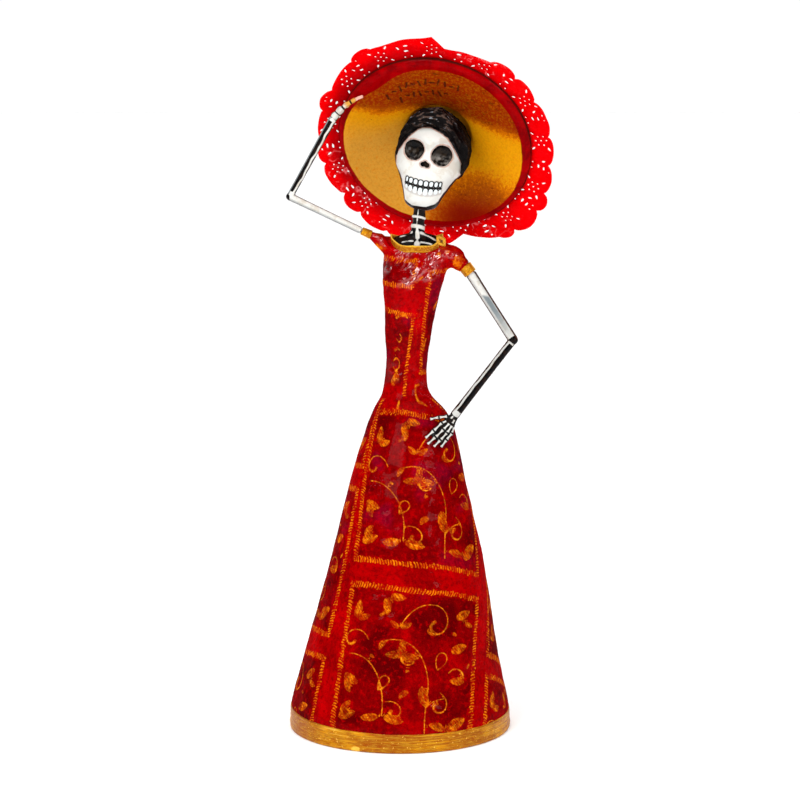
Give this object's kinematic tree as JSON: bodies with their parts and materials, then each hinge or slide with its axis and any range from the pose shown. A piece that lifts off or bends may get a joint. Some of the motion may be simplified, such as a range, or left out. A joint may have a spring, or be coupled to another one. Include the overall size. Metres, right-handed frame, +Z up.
{
  "type": "papier-mache catrina sculpture",
  "caption": "Standing skeleton lady of varnished papier-mache in a long flared painted gown and a wide tilted hat with a lace ruffle, one hand at the brim and one on the hip.",
  "frame": {"origin": "centre of the flat underside of the gown", "axes": "+Z up, the figure faces -Y, +X toward the figure's left hand, which is on the hip"},
  "size_m": [0.152, 0.1298, 0.4002],
  "materials": {
    "gown_paint": "deep red paint with gold-orange vines and hatched borders, under gloss varnish",
    "gold_trim": "brushed gold paint, satin",
    "bone_paint": "white and black paint under gloss varnish",
    "hair_paint": "black-brown paint under gloss varnish",
    "hat_paint": "brushed gold paint with a dark red rim, satin",
    "lace_paint": "bright red varnished paper lace, gloss"
  },
  "bodies": {
    "root": {"dress": "gown_paint", "hem_band": "gold_trim", "neckline_band": "gold_trim", "right_cuff": "gold_trim", "left_cuff": "gold_trim", "neck_and_chest": "bone_paint", "skull": "bone_paint", "hair": "hair_paint", "hat": "hat_paint", "hat_lace": "lace_paint", "right_arm": "bone_paint", "left_arm": "bone_paint"}
  },
  "joints": []
}
